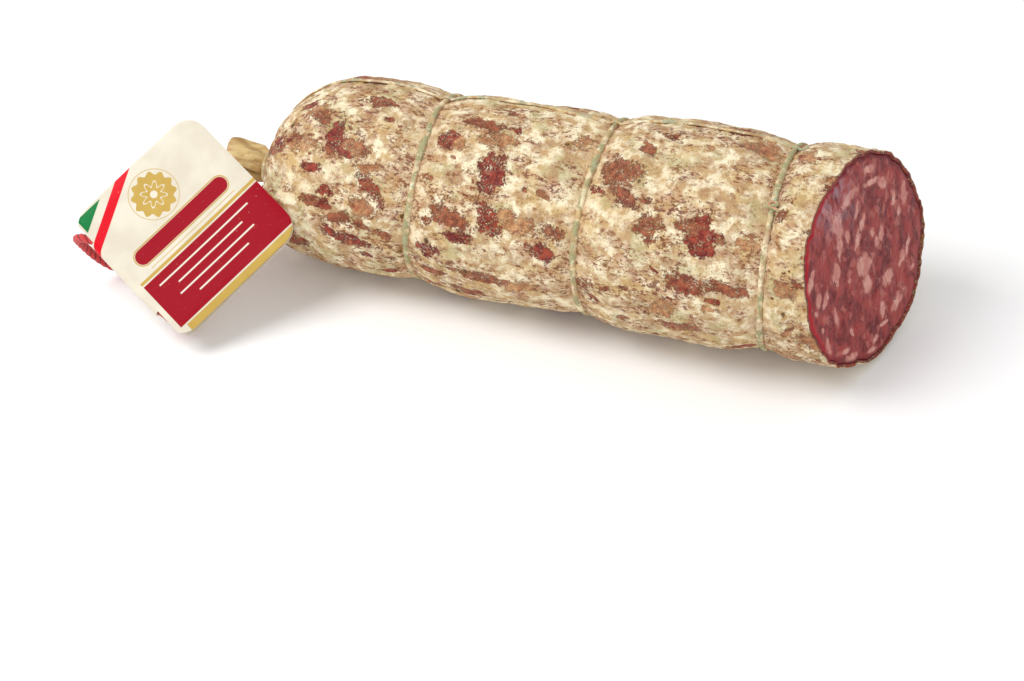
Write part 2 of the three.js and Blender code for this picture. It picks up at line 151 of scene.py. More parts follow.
def body_radius(x, angle):
    """Radius of the casing. It dips to every tie, and rises from the neck in a round dome."""
    radius = np.full_like(x, LOBE_RADII[0])
    dips = np.zeros_like(x)
    for tie in range(3):
        tie_x = TIE_X[tie] + tie_wander(tie, angle)
        past = x > tie_x
        radius = np.where(past, LOBE_RADII[tie + 1], radius)
        beside = np.where(past, LOBE_RADII[tie + 1], LOBE_RADII[tie])
        swell = np.where(past, SWELL_AFTER_TIE, SWELL_BEFORE_TIE)
        away = np.maximum(0, np.abs(x - tie_x) - TIE_BED)
        dips += (beside - TIE_RADII[tie] + GIRTH_TWINE_RADIUS) * np.exp(-away / swell)
    radius -= dips
    radius -= (LOBE_RADII[3] - CUT_RADIUS) * smooth(x, TIE_X[2], CUT_X) * past
    along = np.clip((x - NECK_X - NECK_LENGTH / 2) / DOME_LENGTH, 0, 1)
    dome = (1 - (1 - along) ** DOME_POWER) ** (1 / DOME_POWER)
    return np.maximum(NECK_RADIUS, radius * dome)


def tie_closeness(x, angle):
    """One at a girth tie, falling to zero a few millimetres away."""
    close = np.zeros_like(x)
    for tie in range(3):
        away = np.abs(x - TIE_X[tie] - tie_wander(tie, angle))
        close = np.maximum(close, np.exp(-((away / TIE_REACH) ** 2)))
    return close


def lean_to_cut(points):
    """Shears the stretch past the last tie, more and more towards the cut, so that it ends on the cut."""
    share = np.clip((points[..., 0] - TIE_X[2]) / (CUT_X - TIE_X[2]), 0, 1)
    shift = CUT_SLOPE_Y * points[..., 1] + CUT_SLOPE_Z * (points[..., 2] - CUT_MIDDLE.z)
    points[..., 0] += share * shift
    return points


def bumps(points, size, offset=0.0):
    """Smooth noise from -1 to 1 at every point, with features of that size."""
    flat = points.reshape(-1, 3) / size + offset
    values = [noise.noise(Vector(point)) for point in flat]
    return np.array(values).reshape(points.shape[:-1])


def stretched(points, along):
    """The points drawn together along X, so that noise on them runs lengthwise."""
    return points * np.array((1 / along, 1, 1))


# ---- Mesh building ----

def put_in_scene(name, shape):
    """Turns a finished bmesh into an object."""
    mesh = bpy.data.meshes.new(name)
    shape.to_mesh(mesh)
    shape.free()
    piece = bpy.data.objects.new(name, mesh)
    bpy.context.scene.collection.objects.link(piece)
    return piece


def rolled_grid(name, points, closed_ends=True):
    """A tube through points[row, column], whose columns run round it. Its UV map is row, column."""
    rows, columns = points.shape[:2]
    shape = bmesh.new()
    bmesh.ops.create_grid(shape, x_segments=rows - 1, y_segments=columns, size=0.5)
    uv = shape.loops.layers.uv.new("UVMap")
    shape.verts.ensure_lookup_table()
    places = [(round((v.co.x + 0.5) * (rows - 1)), round((v.co.y + 0.5) * columns)) for v in shape.verts]
    for face in shape.faces:
        for loop in face.loops:
            row, column = places[loop.vert.index]
            loop[uv].uv = (row / (rows - 1), column / columns)
    number = shape.verts.layers.int.new("number")
    for vert, (row, column) in zip(shape.verts, places):
        vert.co = points[row, column % columns]
        vert[number] = row * columns + column % columns
    if closed_ends:
        for end in (0, rows - 1):
            middle = Vector(points[end].mean(axis=0))
            for vert, (row, _) in zip(shape.verts, places):
                if row == end:
                    vert.co = middle
    bmesh.ops.remove_doubles(shape, verts=shape.verts, dist=1e-7)
    bmesh.ops.recalc_face_normals(shape, faces=shape.faces)
    for face in shape.faces:
        face.smooth = True
    return put_in_scene(name, shape)


def give_values(piece, name, values):
    """Stores one number per grid point on the piece, for its material to read."""
    numbers = np.zeros(len(piece.data.vertices), np.int32)
    piece.data.attributes["number"].data.foreach_get("value", numbers)
    layer = piece.data.attributes.new(name, "FLOAT", "POINT")
    layer.data.foreach_set("value", values.reshape(-1)[numbers].astype(np.float32))


def finish_piece(piece, material, slot, *nodes):
    """Gives a piece its material and body, and hides the CAD nodes it stands for. The slot is not used."""
    piece.data.materials.append(material)
    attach(piece, "root")
    if nodes:
        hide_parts(*nodes)
    return piece


def smooth_route(places, spacing):
    """Points at equal spacing along a smooth curve through the given places, and the curve's length."""
    points = [Vector(place) for place in places]
    padded = [2 * points[0] - points[1], *points, 2 * points[-1] - points[-2]]
    fine = []
    for i in range(1, len(padded) - 2):
        before, start, end, after = padded[i - 1:i + 3]
        for step in range(12):
            t = step / 12
            fine.append(0.5 * ((2 * start) + (end - before) * t
                               + (2 * before - 5 * start + 4 * end - after) * t * t
                               + (3 * start - before - 3 * end + after) * t ** 3))
    fine.append(points[-1])
    line = np.array(fine)
    lengths = np.concatenate([[0], np.cumsum(np.linalg.norm(np.diff(line, axis=0), axis=1))])
    count = round(lengths[-1] / spacing)
    wanted = np.linspace(0, lengths[-1], count + 1)
    return np.stack([np.interp(wanted, lengths, line[:, k]) for k in range(3)], axis=1), lengths[-1]


def frames_along(line):
    """Two directions across a line at each of its points, turning as little as possible."""
    tangents = np.gradient(line, axis=0)
    tangents /= np.linalg.norm(tangents, axis=1)[:, None]
    side = Vector(tangents[0]).orthogonal().normalized()
    sides, ups = [], []
    for tangent in tangents:
        direction = Vector(tangent)
        side = (side - direction * side.dot(direction)).normalized()
        sides.append(side.copy())
        ups.append(direction.cross(side))
    return np.array(sides), np.array(ups)


# ---- Material building ----

def tone(red, green, blue):
    """A colour given in 0 to 255 display values."""
    def linear(value):
        value /= 255
        return value / 12.92 if value <= 0.04045 else ((value + 0.055) / 1.055) ** 2.4
    return (linear(red), linear(green), linear(blue), 1.0)


class Finish:
    """A material whose nodes are built with short calls. Sizes in its patterns are in millimetres."""

    def __init__(self, name):
        self.material = bpy.data.materials.new(name)
        self.material.use_nodes = True
        self.nodes = self.material.node_tree.nodes
        self.links = self.material.node_tree.links
        self.shader = self.nodes["Principled BSDF"]
        place = self.nodes.new("ShaderNodeTexCoord").outputs["Object"]
        self.place = self.mapped(place, scale=(1 / MM,) * 3)

    def feed(self, socket, value):
        if isinstance(value, bpy.types.NodeSocket):
            self.links.new(value, socket)
        else:
            socket.default_value = value

    def mapped(self, vector, scale=(1, 1, 1), shift=(0, 0, 0)):
        mapping = self.nodes.new("ShaderNodeMapping")
        self.feed(mapping.inputs["Vector"], vector)
        mapping.inputs["Location"].default_value = shift
        mapping.inputs["Scale"].default_value = scale
        return mapping.outputs["Vector"]

    def moved(self, *shift):
        return self.mapped(self.place, shift=shift)

    def cloud(self, size, detail=2.0, roughness=0.5, vector=None, colour=False):
        node = self.nodes.new("ShaderNodeTexNoise")
        self.feed(node.inputs["Vector"], vector or self.place)
        node.inputs["Scale"].default_value = 1 / size
        node.inputs["Detail"].default_value = detail
        node.inputs["Roughness"].default_value = roughness
        return node.outputs["Color" if colour else "Fac"]

    def cells(self, size, vector=None, feature="F1", output="Distance"):
        node = self.nodes.new("ShaderNodeTexVoronoi")
        node.feature = feature
        self.feed(node.inputs["Vector"], vector or self.place)
        node.inputs["Scale"].default_value = 1 / size
        return node.outputs[output]

    def warped(self, vector, size, amount):
        """The coordinates pushed about by noise, up to the given amount in millimetres."""
        shift = self.nodes.new("ShaderNodeVectorMath")
        shift.operation = "MULTIPLY_ADD"
        self.feed(shift.inputs[0], self.cloud(size, 2, 0.5, vector, colour=True))
        shift.inputs[1].default_value = (2 * amount,) * 3
        self.feed(shift.inputs[2], vector)
        return shift.outputs[0]

    def calc(self, operation, first, second=0.0, third=0.0):
        node = self.nodes.new("ShaderNodeMath")
        node.operation = operation
        for socket, value in zip(node.inputs, (first, second, third)):
            self.feed(socket, value)
        return node.outputs[0]

    def times(self, first, second):
        return self.calc("MULTIPLY", first, second)

    def plus(self, first, second):
        return self.calc("ADD", first, second)

    def less(self, first, second):
        return self.calc("SUBTRACT", first, second)

    def scaled_plus(self, first, factor, added):
        return self.calc("MULTIPLY_ADD", first, factor, added)

    def distance(self, across, up):
        return self.calc("SQRT", self.plus(self.times(across, across), self.times(up, up)))

    def centred(self, value, amount):
        """Noise moved to lie about zero and scaled."""
        return self.times(self.less(value, 0.5), amount)

    def step(self, value, low, high, start=0.0, end=1.0):
        node = self.nodes.new("ShaderNodeMapRange")
        node.interpolation_type = "SMOOTHSTEP"
        for name, number in (("Value", value), ("From Min", low), ("From Max", high),
                             ("To Min", start), ("To Max", end)):
            self.feed(node.inputs[name], number)
        return node.outputs["Result"]

    def patches(self, low, high, size, detail=2.0, roughness=0.5, vector=None, least=0.0, most=1.0):
        """Noise cut to patches with soft edges: least where it is under low, most where it is over high."""
        return self.step(self.cloud(size, detail, roughness, vector), low, high, least, most)

    def within(self, value, low, high, soft=0.12):
        """One where the value lies between low and high."""
        above = self.step(value, low - soft, low + soft)
        return self.times(above, self.step(value, high + soft, high - soft))

    def mix(self, factor, first, second, most=1.0):
        """The second colour laid over the first by the factor, at most by the share given."""
        node = self.nodes.new("ShaderNodeMix")
        node.data_type = "RGBA"
        self.feed(node.inputs[0], factor if most == 1 else self.times(factor, most))
        self.feed(node.inputs[6], first)
        self.feed(node.inputs[7], second)
        return node.outputs[2]

    def value(self, name):
        node = self.nodes.new("ShaderNodeAttribute")
        node.attribute_name = name
        return node.outputs["Fac"]

    def first_channel(self, colour):
        split = self.nodes.new("ShaderNodeSeparateColor")
        self.feed(split.inputs[0], colour)
        return split.outputs[0]

    def uv(self):
        split = self.nodes.new("ShaderNodeSeparateXYZ")
        self.feed(split.inputs[0], self.nodes.new("ShaderNodeUVMap").outputs[0])
        return split.outputs[0], split.outputs[1]

    def bump(self, height, distance, strength):
        node = self.nodes.new("ShaderNodeBump")
        node.inputs["Strength"].default_value = strength
        node.inputs["Distance"].default_value = distance
        self.feed(node.inputs["Height"], height)
        self.feed(self.shader.inputs["Normal"], node.outputs[0])

    def shade(self, **values):
        for name, value in values.items():
            self.feed(self.shader.inputs[name.replace("_", " ")], value)
        return self.material


# ---- Finishes ----

def mould_layers(finish):
    """The mould's cream puffs, tan crumbs, grey-green and dusky parts: its colour, height and broad noise."""
    place = finish.place
    grain = finish.cloud(0.55, 3, 0.65)
    puffs = finish.cloud(3.4, 4, 0.6, finish.warped(place, 5, 1.2))
    broad = finish.cloud(13, 3, 0.55)
    colour = finish.mix(finish.step(puffs, 0.38, 0.6), tone(192, 160, 116), tone(240, 227, 194))
    tan = finish.patches(0.48, 0.66, 8, 3, 0.6, finish.moved(40, 9, 3))
    colour = finish.mix(tan, colour, tone(202, 170, 112), 0.6)
    green = finish.patches(0.52, 0.66, 10, 3, 0.55, finish.moved(7, 31, 11))
    colour = finish.mix(green, colour, tone(178, 168, 122), 0.6)
    dusk = finish.patches(0.5, 0.64, 6.5, 4, 0.6, finish.moved(3, 17, 29))
    colour = finish.mix(dusk, colour, tone(164, 124, 92), 0.6)
    crumbs = finish.step(finish.cells(0.95, finish.warped(place, 0.8, 0.25)), 0.36, 0.16)
    crumbs = finish.times(crumbs, finish.patches(0.42, 0.6, 5, 2, 0.5, finish.moved(15, 5, 1)))
    colour = finish.mix(crumbs, colour, tone(208, 170, 98), 0.5)
    colour = finish.mix(finish.step(grain, 0.44, 0.3, 0, 0.6), colour, tone(150, 118, 84))
    height = finish.scaled_plus(grain, 0.5, finish.scaled_plus(puffs, 1.2, crumbs))
    return colour, height, broad


def casing_finish():
    finish = Finish("mould_casing")
    place = finish.place
    colour, height, broad = mould_layers(finish)
    colour = finish.mix(finish.value("near_tie"), colour, tone(204, 170, 130), 0.5)

    # What shows through the casing: tan fat, brown between and dark red lean meat.
    tint = finish.patches(0.35, 0.65, 1.9, 3, 0.6)
    fat = finish.mix(tint, tone(166, 108, 72), tone(208, 158, 110))
    brown = finish.mix(tint, tone(122, 64, 42), tone(170, 98, 66))
    lean_meat = finish.mix(tint, tone(104, 26, 26), tone(158, 62, 44))
    kind = finish.plus(finish.value("lean"), finish.centred(finish.cloud(3, 2, 0.5), 0.5))
    under = finish.mix(finish.step(kind, 0.2, 0.45), fat, brown)
    under = finish.mix(finish.step(kind, 0.65, 0.95), under, lean_meat)
    ragged = finish.plus(finish.centred(finish.cloud(2.6, 3, 0.6), 1.9),
                         finish.centred(finish.cloud(0.7, 2, 0.6), 1.1))
    depth = finish.plus(finish.value("window"), ragged)
    bare = finish.step(depth, -0.02, 0.22)
    dust_zone = finish.patches(0.4, 0.62, 3.8, 2, 0.5, finish.moved(12, 3, 7), least=0.1, most=0.95)
    dust = finish.times(finish.patches(0.49, 0.6, 0.6, 3, 0.75, finish.moved(9, 9, 9)), dust_zone)
    bare = finish.times(bare, finish.less(1.0, dust))

    # Thin mould, where streaks and specks of dark meat show between the crumbs.
    streaky = finish.mapped(place, scale=(0.45, 1, 1))
    thin_zone = finish.scaled_plus(broad, 0.4, finish.times(finish.cloud(3.6, 3, 0.6, streaky), 0.6))
    thin_zone = finish.step(thin_zone, 0.455, 0.55)
    lengthwise = finish.mapped(place, scale=(0.6, 1, 1), shift=(21, 2, 8))
    specks = finish.times(finish.patches(0.49, 0.57, 0.95, 3, 0.75, lengthwise), thin_zone)
    speck_colour = finish.mix(finish.patches(0.4, 0.6, 7, 2), tone(108, 52, 46), tone(128, 80, 46))
    haze = finish.patches(0.42, 0.6, 2.2, 3, 0.6, streaky)
    colour = finish.mix(finish.times(haze, thin_zone), colour, tone(178, 128, 96), 0.55)
    colour = finish.mix(specks, colour, speck_colour, 0.85)
    colour = finish.mix(bare, colour, under)

    # Small dark pits with brown surrounds.
    pit = finish.cells(15, finish.warped(place, 1.5, 0.8))
    pit = finish.plus(pit, finish.centred(finish.cloud(1.2, 2, 0.6), 0.05))
    hole = finish.step(pit, 0.07, 0.035)
    colour = finish.mix(finish.step(pit, 0.16, 0.06), colour, tone(160, 116, 60), 0.6)
    colour = finish.mix(hole, colour, tone(74, 48, 26), 0.85)
    height = finish.less(height, finish.scaled_plus(bare, 1.4, finish.times(hole, 1.6)))
    finish.bump(height, 0.00035, 0.9)
    roughness = finish.step(bare, 0, 1, 0.92, 0.45)
    return finish.shade(Base_Color=colour, Roughness=roughness, Specular_IOR_Level=0.22)


def meat_finish():
    """The cut: lean meat, lumps of fat drawn out from top to bottom, bits of peppercorn and a dark edge."""
    finish = Finish("cured_meat")
    place = finish.place
    flowing = finish.mapped(finish.warped(place, 7, 3.0), scale=(0.6, 1, 0.56))
    flowing = finish.warped(flowing, 1.6, 0.5)
    meat = finish.mix(finish.patches(0.36, 0.64, 4, 4, 0.62, flowing), tone(100, 18, 24), tone(152, 54, 50))
    meat = finish.mix(finish.patches(0.5, 0.75, 0.9, 3, 0.6, flowing, most=0.5), meat, tone(176, 84, 74))
    small = finish.mapped(flowing, shift=(13, 13, 13))
    chosen = finish.step(finish.first_channel(finish.cells(2.1, small, output="Color")), 0.7, 0.74)
    edge = finish.plus(finish.cells(2.1, small, "DISTANCE_TO_EDGE"),
                       finish.centred(finish.cloud(1.1, 3, 0.6, flowing), 0.4))
    crumbs = finish.times(chosen, finish.step(edge, 0.05, 0.25))
    depth = finish.plus(finish.value("fat"), finish.centred(finish.cloud(1.3, 3, 0.6, flowing), 1.6))
    lumps = finish.step(depth, -0.12, 0.4)
    haze = finish.step(finish.value("fat"), -0.9, 0.2, 0, 0.3)
    fat_tint = finish.patches(0.35, 0.65, 2.4, 3, 0.6, flowing)
    fat = finish.mix(fat_tint, tone(188, 118, 108), tone(212, 156, 142))
    colour = finish.mix(haze, meat, tone(160, 74, 68))
    colour = finish.mix(crumbs, colour, tone(178, 100, 90), 0.6)
    colour = finish.mix(lumps, colour, fat, 0.92)

    # A painted reflection, a cool sheen at the upper left; a bright red line down the left edge and a dark
    # one round the rest.
    seen = finish.value("seen_right")
    painted_sheen = finish.times(finish.step(seen, 0.0, -0.5), finish.step(finish.value("seen_up"), 0.05, 0.6))
    painted_sheen = finish.times(painted_sheen, finish.patches(0.42, 0.62, 2.5, 3, 0.6, flowing))
    colour = finish.mix(painted_sheen, colour, tone(196, 176, 190), 0.4)
    ragged = finish.plus(finish.value("rim"), finish.centred(finish.cloud(4, 3, 0.6), 0.1))
    edge_colour = finish.mix(finish.step(seen, -0.2, -0.6), tone(104, 14, 24), tone(172, 14, 32))
    colour = finish.mix(finish.step(ragged, 0.93, 0.98, 0, 0.88), colour, edge_colour)
    pepper = finish.step(finish.cells(7.5, finish.moved(4, 2, 6)), 0.07, 0.04)
    colour = finish.mix(pepper, colour, tone(46, 30, 24))
    height = finish.scaled_plus(lumps, -0.4, finish.cloud(1.3, 3, 0.6, flowing))
    finish.bump(height, 0.00022, 0.8)
    return finish.shade(Base_Color=colour, Roughness=0.46, Specular_IOR_Level=0.25)


def twine_finish(name, body, fringe, mould_share):
    """Flat pressed twine with a coloured fringe along both edges, partly under mould."""
    finish = Finish(name)
    around = finish.uv()[1]
    edge = finish.calc("ABSOLUTE", finish.calc("COSINE", finish.times(around, TURN)))
    fibres = finish.cloud(0.5, 3, 0.6)
    colour = finish.mix(finish.step(fibres, 0.35, 0.65), tone(*(0.86 * value for value in body)), tone(*body))
    mint = finish.patches(0.62, 0.74, 9, 2, 0.5)
    colour = finish.mix(mint, colour, tone(178, 202, 172), 0.5)
    fringe_edge = finish.step(finish.plus(edge, finish.centred(fibres, 0.3)), 0.84, 0.95)
    fringe_zone = finish.patches(0.4, 0.56, 4, 2, 0.5)
    colour = finish.mix(finish.times(fringe_edge, fringe_zone), colour, tone(*fringe))
    fleck = finish.step(finish.cells(3.2, finish.warped(finish.place, 1, 0.4)), 0.14, 0.08)
    colour = finish.mix(fleck, colour, tone(170, 84, 60), 0.7)
    mould, height, _ = mould_layers(finish)
    dusted = finish.step(finish.plus(finish.cloud(3.5, 3, 0.6), mould_share), 0.5, 0.62)
    colour = finish.mix(dusted, colour, mould)
    finish.bump(finish.scaled_plus(fibres, 1.0, finish.times(height, 0.4)), 0.0002, 0.7)
    return finish.shade(Base_Color=colour, Roughness=0.9, Specular_IOR_Level=0.2)


def gut_finish():
    """Dry gathered gut: ochre and cream, with painted shade in the troughs of its folds."""
    finish = Finish("dry_gut")
    streaks = finish.cloud(2.2, 4, 0.6, finish.mapped(finish.place, scale=(0.3, 1, 1)))
    colour = finish.mix(finish.step(streaks, 0.35, 0.65), tone(172, 138, 78), tone(206, 180, 124))
    colour = finish.mix(finish.patches(0.52, 0.66, 5, 3, 0.6, most=0.5), colour, tone(168, 122, 62))
    # Painted shade: darker brown in the troughs of the pleats.
    colour = finish.mix(finish.step(finish.value("fold"), 0.4, 0.05, 0, 0.5), colour, tone(140, 98, 50))
    finish.bump(streaks, 0.0003, 0.8)
    return finish.shade(Base_Color=colour, Roughness=0.5, Subsurface_Weight=0.15, Subsurface_Scale=0.001)


def cord_finish():
    """Twisted red cord: bright red on the strands, painted shade between them, with fine fibres."""
    finish = Finish("red_cord")
    fibres = finish.cloud(0.4, 3, 0.7)
    # Painted shade: dark red in the grooves between the strands.
    colour = finish.mix(finish.step(finish.value("strand"), 0.1, 0.75), tone(120, 18, 24), tone(200, 48, 50))
    colour = finish.mix(finish.step(fibres, 0.5, 0.75, 0, 0.5), colour, tone(222, 110, 100))
    finish.bump(fibres, 0.0002, 0.8)
    return finish.shade(Base_Color=colour, Roughness=0.85, Sheen_Weight=0.2)


# The card's UV map spans this length. Its print is in millimetres out from the fold and up along it.
CARD_UV_SCALE = 0.05
ROSETTE_MIDDLE = (24.5, 38.8)
FLASH_RED = (32.0, 34.9)
FLASH_GREEN = (37.6, 60.0)


def card_finish():
    """Coated card, printed on the front leaf with a red block, gold rules, a rosette and a corner flash."""
    finish = Finish("label_card")
    out, up = finish.uv()
    out = finish.times(out, CARD_UV_SCALE / MM)
    up = finish.times(up, CARD_UV_SCALE / MM)
    gold = finish.mix(finish.cloud(6, 2), tone(180, 146, 70), tone(200, 168, 86))
    red = tone(152, 2, 26)
    card = finish.mix(finish.patches(0.3, 0.7, 9, 3), tone(212, 203, 184), tone(224, 216, 198))
    front = finish.step(out, 3.0, 3.2)
    block = finish.times(finish.within(up, 2.9, 19.8), front)
    colour = finish.mix(block, card, red)
    for low, high, start, end in ((20.3, 21.3, 3, 60), (-5, 2.4, 5, 60), (22.4, 22.6, 9, 43)):
        rule = finish.times(finish.within(up, low, high), finish.within(out, start, end))
        colour = finish.mix(rule, colour, gold)
    for height, start, end in ((16.6, 7, 43), (13.5, 12, 38), (10.4, 10, 40), (7.3, 15, 35)):
        rule = finish.times(finish.within(up, height, height + 0.5), finish.within(out, start, end))
        colour = finish.mix(rule, colour, tone(228, 220, 204))

    # A plain red bar with round ends, edged in gold.
    off_middle = finish.calc("ABSOLUTE", finish.less(out, 25.0))
    beside = finish.calc("MAXIMUM", finish.less(off_middle, 15.6), 0.0)
    reach = finish.distance(beside, finish.less(up, 26.9))
    colour = finish.mix(finish.step(reach, 3.15, 3.0), colour, gold)
    colour = finish.mix(finish.step(reach, 2.75, 2.6), colour, card)
    colour = finish.mix(finish.step(reach, 2.6, 2.45), colour, red)

    # A plain gold rosette in a thin ring, with a cream line of petals and a cream middle.
    across = finish.less(out, ROSETTE_MIDDLE[0])
    above = finish.less(up, ROSETTE_MIDDLE[1])
    reach = finish.distance(across, above)
    around = finish.calc("ARCTAN2", above, across)
    rim = finish.scaled_plus(finish.calc("COSINE", finish.times(around, 12.0)), 0.55, 6.6)
    colour = finish.mix(finish.step(finish.less(reach, rim), 0.12, -0.12), colour, gold)
    inner = finish.scaled_plus(finish.calc("COSINE", finish.times(around, 8.0)), 0.9, 3.2)
    colour = finish.mix(finish.within(finish.less(reach, inner), -0.22, 0.22), colour, card)
    colour = finish.mix(finish.step(reach, 1.25, 1.05), colour, card)
    colour = finish.mix(finish.within(reach, 7.7, 7.9), colour, gold)

    # The corner flash by the fold: a slanting red band, which runs on over the back leaf, and a green corner.
    slant = finish.plus(finish.times(up, 0.878), finish.times(out, -0.479))
    colour = finish.mix(finish.within(slant, *FLASH_RED), colour, tone(214, 6, 30))
    green = finish.times(finish.within(slant, *FLASH_GREEN), finish.within(out, 2.2, 60))
    green = finish.times(green, finish.step(up, 49.4, 49.2))
    colour = finish.mix(green, colour, tone(0, 116, 56))
    colour = finish.mix(finish.patches(0.66, 0.74, 0.9, 3, 0.7, most=0.5), colour, tone(200, 170, 130))
    finish.bump(finish.cloud(0.8, 2), 0.00003, 0.5)
    return finish.shade(Base_Color=colour, Roughness=0.45, Specular_IOR_Level=0.12)


# ---- Casing ----

SKIN_SPACING = 0.00068
SKIN_SIDES = 268
WINDOW_COUNT = 380
LARGE_WINDOW_SPREAD = 1.25
INNER_ROW_STEP = 6

# The largest bare patches: millimetres from the neck, degrees round, half length and half width before the
# spread, tilt in radians, and how lean the meat under them is.
LARGE_WINDOWS = (
    (38.3, 95, 4.2, 1.9, -0.15, 0.75), (28.7, 123, 3.0, 4.0, 0.0, 1.0), (35.8, 127, 4.5, 2.6, 0.1, 0.35),
    (15.3, 97, 2.6, 1.9, 0.0, 0.9), (17, 126, 6.0, 2.4, 0.35, 0.1), (10, 123, 2.2, 3.0, 0.0, 0.9),
    (28.9, 155, 2.0, 1.6, 0.0, 1.0), (36, 183, 7.5, 2.0, 0.1, 0.9), (41.7, 161, 3.8, 2.4, 0.2, 0.3),
    (79, 128, 3.8, 5.2, 0.0, 0.95), (72, 98, 5.5, 1.8, 0.1, 0.7), (69, 157, 6.5, 2.6, 0.35, 0.6),
    (81, 153, 3.0, 4.6, -0.5, 0.95), (89, 152, 6.0, 2.4, 0.1, 0.0), (97.5, 166, 3.8, 2.6, 0.1, 0.9),
    (100.6, 154, 4.6, 1.8, 0.15, 0.5), (80.6, 192, 10.0, 1.5, 0.05, 0.7), (115.9, 115, 6.5, 3.6, 0.2, 0.45),
    (144, 142, 3.4, 5.8, -0.2, 0.95), (145, 69, 4.0, 2.4, 0.1, 0.8), (154, 83, 6.5, 3.0, 0.15, 0.3),
    (128.7, 143, 3.4, 3.2, 0.0, 0.6), (155, 168, 8.5, 1.8, 0.1, 0.5), (139.5, 198, 6.0, 1.6, 0.0, 0.4),
    (168, 84, 3.8, 2.6, 0.1, 0.35), (183, 195, 3.8, 2.6, 0.1, 0.3),
)


def place_windows():
    """Bare patches of the casing, longer along the sausage: place, half lengths, tilt, and lean or fat."""
    chance = random.Random(11)
    spread = LARGE_WINDOW_SPREAD
    windows = [(NECK_X + x * MM, math.radians(angle), spread * half * MM, spread * narrow * MM, tilt, share)
               for x, angle, half, narrow, tilt, share in LARGE_WINDOWS]
    for _ in range(WINDOW_COUNT):
        half = (1.0 + 5.6 * chance.random() ** 2.2) * MM
        windows.append((chance.uniform(NECK_X + 3 * MM, CUT_X + 8 * MM), chance.uniform(0, TURN), half,
                        half * chance.uniform(0.3, 0.6), chance.gauss(0.05, 0.3), chance.random()))
    return windows


def window_values(x, angle, shift_x, shift_y):
    """How deep each point lies in a bare patch, one at its middle and zero at its edge, and its leanness."""
    depth = np.full_like(x, -1.0)
    lean_share = np.zeros_like(x)
    for middle, turn, half, narrow, tilt, share in place_windows():
        ahead = x + shift_x - middle
        aside = (np.mod(angle - turn + math.pi, TURN) - math.pi) * LOBE_RADII[1] + shift_y
        along = ahead * math.cos(tilt) + aside * math.sin(tilt)
        across = aside * math.cos(tilt) - ahead * math.sin(tilt)
        here = 1 - np.sqrt((along / half) ** 2 + (across / narrow) ** 2)
        lean_share = np.where(here > depth, share, lean_share)
        depth = np.maximum(depth, here)
    return depth, lean_share


def skin_rows():
    """Places along the axis that are evenly spaced over the surface, from the neck to the cut."""
    x = np.linspace(NECK_X, CUT_X, 3000)
    radius = body_radius(x, np.full_like(x, math.pi))
    lengths = np.concatenate([[0], np.cumsum(np.hypot(np.diff(x), np.diff(radius)))])
    return np.interp(np.linspace(0, lengths[-1], round(lengths[-1] / SKIN_SPACING)), lengths, x)


def round_points(x, angle, radius):
    y, z = axis_at(x)
    return np.stack([x, y + radius * np.cos(angle), z + radius * np.sin(angle)], axis=-1)


def casing_surface():
    """The casing's outer points with its relief, and the values that its finish reads."""
    x, angle = np.meshgrid(skin_rows(), angles_round(SKIN_SIDES), indexing="ij")
    plain = round_points(x, angle, body_radius(x, angle))
    close = tie_closeness(x, angle)
    shift_x = 0.9 * MM * bumps(plain, 3.5 * MM, 5.0)
    shift_y = 0.9 * MM * bumps(plain, 3.5 * MM, 25.0)
    depth, lean_share = window_values(x, angle, shift_x, shift_y)
    depth -= 0.9 * close
    grown = 1 - np.exp(-np.maximum(0, x - NECK_X - 2 * MM) / (9 * MM))
    relief = 0.85 * bumps(stretched(plain, 1.5), 15 * MM) + 0.5 * bumps(stretched(plain, 1.3), 5 * MM, 9.0)
    relief += 0.3 * bumps(plain, 1.9 * MM, 3.0) - 0.3 * smooth(depth, -0.1, 0.3)
    relief = relief * grown * (1 - 0.75 * close) * (1 + 0.7 * smooth(x, CUT_X - 14 * MM, CUT_X))
    relief += 0.22 * close * np.sin(46 * angle + 5 * bumps(plain, 9 * MM, 2.0))
    pleats = np.exp(-np.maximum(0, x - NECK_X) / (8 * MM))
    relief += 0.7 * pleats * np.sin(13 * angle + 2 * np.sin(3 * angle))
    radius = body_radius(x, angle) + relief * MM
    points = lean_to_cut(round_points(x, angle, radius))
    points[..., 2] = np.maximum(points[..., 2], 0)
    return points, {"window": depth, "lean": lean_share, "near_tie": close}


def make_casing(points, values):
    """The outer skin, the edge of its wall at the cut, and a plain inner wall."""
    last = points[-1]
    middle = np.array(CUT_MIDDLE)
    directions = (last - middle) / np.linalg.norm(last - middle, axis=1)[:, None]
    rim = [last - directions * CASING_WALL * share for share in (0.35, 1.0)]
    rows = np.arange(len(points) - 8, 12, -INNER_ROW_STEP)
    axis_x = np.array([points[row, :, 0].mean() for row in rows])
    axis_y, axis_z = axis_at(axis_x)
    inner = []
    for row, x, y, z in zip(rows, axis_x, axis_y, axis_z):
        middle = np.array([x, y, z])
        inner.append(middle + (points[row] - middle) * (1 - 1.6 * CASING_WALL / LOBE_RADII[0]))
    whole = np.concatenate([points, rim, inner])
    extra = len(whole) - len(points)
    piece = rolled_grid("casing_skin", whole)
    for name, grid in values.items():
        inside = np.full((extra, SKIN_SIDES), 0.0 if name == "near_tie" else 1.0)
        give_values(piece, name, np.concatenate([grid, inside]))
    return finish_piece(piece, casing_finish(), "mould_casing", "casing")


# ---- Filling ----

FACE_RINGS = 66
SIDE_ROWS = 110
CUT_REACH = 30  # millimetres, about the cut's radius

